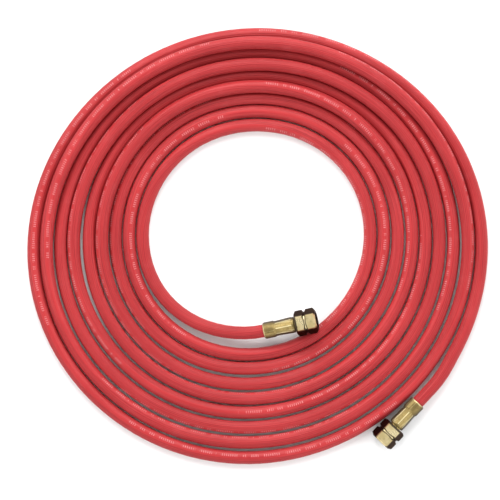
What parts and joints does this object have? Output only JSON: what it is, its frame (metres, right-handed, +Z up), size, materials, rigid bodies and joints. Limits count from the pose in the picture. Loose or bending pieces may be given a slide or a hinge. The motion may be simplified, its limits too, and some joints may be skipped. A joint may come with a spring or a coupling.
{
  "type": "rubber gas hose with brass end fittings",
  "caption": "Red rubber gas hose wound in a flat spiral, with a crimped brass ferrule and a grooved left-hand swivel nut on each end.",
  "frame": {"origin": "on the floor, under the middle of the whole coil's box", "axes": "+Z up out of the flat coil, +X along its longer side, towards the side where the outer end leaves; the outer fitting lies at +X -Y"},
  "size_m": [0.3686, 0.3488, 0.0264],
  "materials": {
    "rubber": "ribbed red rubber, satin",
    "brass_crimped": "drawn tube, crimped, slightly dulled",
    "brass_turned": "turned",
    "brass_nut": "machined hexagon bar, slightly dulled"
  },
  "bodies": {
    "hose_assembly": {"hose": "rubber", "inner_ferrule": "brass_crimped", "inner_stem": "brass_turned", "outer_ferrule": "brass_crimped", "outer_stem": "brass_turned"},
    "inner_swivel": {"inner_nut": "brass_nut"},
    "outer_swivel": {"outer_nut": "brass_nut"}
  },
  "joints": [
    {"name": "inner_nut_turn", "type": "hinge", "parent": "hose_assembly", "child": "inner_swivel", "pos_m": [0.0433, -0.05971, 0.01699], "axis": [0.9683, 0.2076, 0.1392], "continuous": true},
    {"name": "outer_nut_turn", "type": "hinge", "parent": "hose_assembly", "child": "outer_swivel", "pos_m": [0.10084, -0.15372, 0.009], "axis": [-0.6884, -0.7254, 0], "continuous": true}
  ]
}
